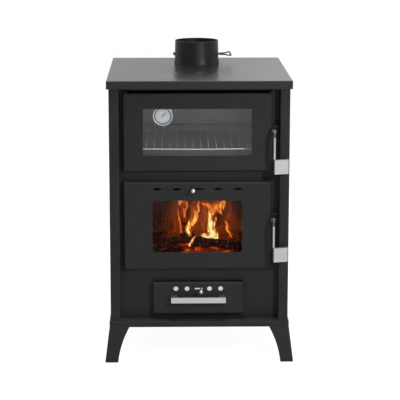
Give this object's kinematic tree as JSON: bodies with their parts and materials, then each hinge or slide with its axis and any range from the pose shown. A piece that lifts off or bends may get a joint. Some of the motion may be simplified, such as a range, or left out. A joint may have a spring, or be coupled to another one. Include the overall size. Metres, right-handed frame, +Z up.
{
  "type": "wood cookstove",
  "caption": "Free-standing wood cookstove with a glass-fronted oven over a glass-fronted firebox, an ash drawer, flared legs, a flat cooktop and a flue collar with a damper.",
  "frame": {"origin": "on the floor, in the middle of the stove's bounding box seen from above", "axes": "+Z up; the doors and the drawer face -Y; +X is to the right seen from the front, the side the door handles are on"},
  "size_m": [0.587, 0.64, 0.9575],
  "materials": {
    "black_paint": "matte heat-resistant black paint",
    "inner_paint": "matte black paint, inner parts",
    "cooktop_steel": "satin dark steel plate",
    "hob_iron": "fine cast surface",
    "cast_iron": "rough casting",
    "oven_steel": "dull inner sheet",
    "dark_steel": "unplated dark steel",
    "bright_steel": "plain bright steel",
    "nickel": "satin nickel plating",
    "firebrick": "rough fired clay",
    "rope": "braided heat-proof rope",
    "glass": "clear heat-proof glass",
    "dial_white": "printed white dial plate",
    "pointer_black": "painted pointer"
  },
  "bodies": {
    "stove": {"cooktop_plate": "cooktop_steel", "flue_collar": "black_paint", "left_side_panel": "black_paint", "right_side_panel": "black_paint", "back_panel": "black_paint", "front_panel": "black_paint", "base_plate": "black_paint", "leg_front_left": "black_paint", "leg_front_right": "black_paint", "leg_back_left": "black_paint", "leg_back_right": "black_paint", "oven_box": "oven_steel", "rack_runner_left": "oven_steel", "rack_runner_right": "oven_steel", "firebox_shell": "inner_paint", "firebrick_left": "firebrick", "firebrick_right": "firebrick", "firebrick_back": "firebrick", "fire_grate": "cast_iron", "smoke_baffle": "inner_paint", "drawer_runner_left": "inner_paint", "drawer_runner_right": "inner_paint", "oven_hinge_top": "black_paint", "oven_hinge_bottom": "black_paint", "firebox_hinge_top": "black_paint", "firebox_hinge_bottom": "black_paint", "oven_latch_keeper": "black_paint", "firebox_latch_keeper": "black_paint"},
    "oven_door": {"oven_door": "black_paint", "oven_door_glass": "glass", "oven_glass_frame": "inner_paint", "oven_door_gasket": "rope", "oven_handle_bracket": "black_paint", "oven_handle_pin": "nickel", "thermometer_case": "bright_steel", "thermometer_dial": "dial_white"},
    "thermometer_needle": {"thermometer_pointer": "pointer_black"},
    "oven_handle": {"oven_handle_lever": "nickel", "oven_handle_block": "nickel"},
    "firebox_door": {"firebox_door": "black_paint", "firebox_door_glass": "glass", "firebox_glass_frame": "inner_paint", "firebox_door_gasket": "rope", "firebox_handle_bracket": "black_paint", "firebox_handle_pin": "nickel"},
    "firebox_handle": {"firebox_handle_lever": "nickel", "firebox_handle_block": "nickel"},
    "firebox_air_control": {"firebox_air_slide": "inner_paint", "firebox_air_knob": "nickel"},
    "ash_drawer": {"ash_drawer_front": "black_paint", "ash_drawer_tray": "inner_paint", "drawer_handle": "nickel"},
    "drawer_air_control": {"drawer_air_slide": "bright_steel", "drawer_air_knob": "nickel"},
    "flue_damper": {"damper_plate": "cast_iron", "damper_rod": "dark_steel", "damper_handle": "dark_steel", "damper_nut": "dark_steel"},
    "hob_lid": {"hob_lid": "hob_iron"},
    "oven_rack": {"oven_rack": "bright_steel"}
  },
  "joints": [
    {"name": "oven_door_hinge", "type": "hinge", "parent": "stove", "child": "oven_door", "pos_m": [-0.227, -0.2555, 0.721], "axis": [0, 0, -1], "range_deg": [0, 105]},
    {"name": "oven_handle_pivot", "type": "hinge", "parent": "oven_door", "child": "oven_handle", "pos_m": [0.227, -0.29, 0.726], "axis": [-1, 0, 0], "range_deg": [-6, 60]},
    {"name": "thermometer_needle_turn", "type": "hinge", "parent": "oven_door", "child": "thermometer_needle", "pos_m": [-0.1114, -0.2514, 0.77], "axis": [0, 1, 0], "range_deg": [-10, 250]},
    {"name": "firebox_door_hinge", "type": "hinge", "parent": "stove", "child": "firebox_door", "pos_m": [-0.227, -0.2555, 0.42815], "axis": [0, 0, -1], "range_deg": [0, 105]},
    {"name": "firebox_handle_pivot", "type": "hinge", "parent": "firebox_door", "child": "firebox_handle", "pos_m": [0.227, -0.29, 0.451], "axis": [-1, 0, 0], "range_deg": [-6, 60]},
    {"name": "firebox_air_slide", "type": "slide", "parent": "firebox_door", "child": "firebox_air_control", "axis": [1, 0, 0], "range_m": [0, 0.029]},
    {"name": "ash_drawer_slide", "type": "slide", "parent": "stove", "child": "ash_drawer", "axis": [0, -1, 0], "range_m": [0, 0.36]},
    {"name": "drawer_air_slide", "type": "slide", "parent": "ash_drawer", "child": "drawer_air_control", "axis": [-1, 0, 0], "range_m": [0, 0.017]},
    {"name": "flue_damper_turn", "type": "hinge", "parent": "stove", "child": "flue_damper", "pos_m": [0, 0.165, 0.912], "axis": [1, 0, 0], "range_deg": [0, 90]},
    {"name": "hob_lid_lift", "type": "slide", "parent": "stove", "child": "hob_lid", "axis": [0, 0, 1], "range_m": [0, 0.15]},
    {"name": "oven_rack_slide", "type": "slide", "parent": "stove", "child": "oven_rack", "axis": [0, -1, 0], "range_m": [-0.03, 0.018]}
  ]
}
